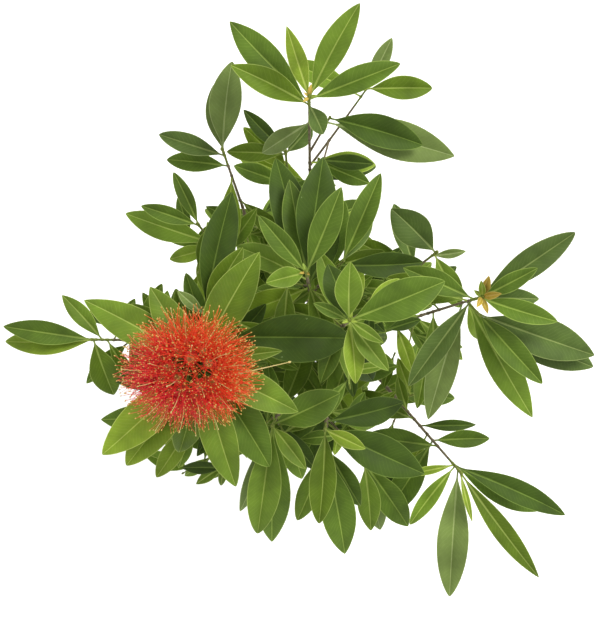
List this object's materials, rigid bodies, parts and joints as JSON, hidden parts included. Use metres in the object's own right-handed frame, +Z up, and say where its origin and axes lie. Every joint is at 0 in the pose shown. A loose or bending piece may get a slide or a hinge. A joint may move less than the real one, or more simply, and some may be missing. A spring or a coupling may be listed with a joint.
{
  "type": "red-flowered penda shrub",
  "caption": "Young leafy evergreen shrub with a round red flower head, a short trunk forking into slender boughs, and whorls of leathery leaves.",
  "frame": {"origin": "middle of the flat cut under the trunk, at ground level", "axes": "+Z up the trunk; seen from above with +X to the right and +Y up the page, the red flower head is on the left, at -X"},
  "size_m": [0.4129, 0.4013, 0.4273],
  "materials": {
    "bark": "rough grey-brown bark, finely ridged lengthwise",
    "foliage": "leathery green leaves with a satin upper side and pale midribs",
    "blossom": "scarlet stamens with yellow anthers"
  },
  "bodies": {
    "root": {"trunk": "bark", "bough_leader": "bark", "bough_centre": "bark", "bough_north": "bark", "bough_north_inner": "bark", "bough_northwest": "bark", "bough_west_upper": "bark", "bough_flower": "bark", "bough_far_west": "bark", "bough_southwest": "bark", "bough_east": "bark", "bough_northeast": "bark", "bough_southeast": "bark", "bough_south": "bark", "bough_south_west": "bark", "bough_south_low": "bark", "foliage_leader": "foliage", "foliage_centre": "foliage", "foliage_north": "foliage", "foliage_north_inner": "foliage", "foliage_northwest": "foliage", "foliage_west_upper": "foliage", "foliage_flower": "foliage", "foliage_far_west": "foliage", "foliage_southwest": "foliage", "foliage_east": "foliage", "foliage_northeast": "foliage", "foliage_southeast": "foliage", "foliage_south": "foliage", "foliage_south_west": "foliage", "foliage_south_low": "foliage"}
  },
  "joints": []
}
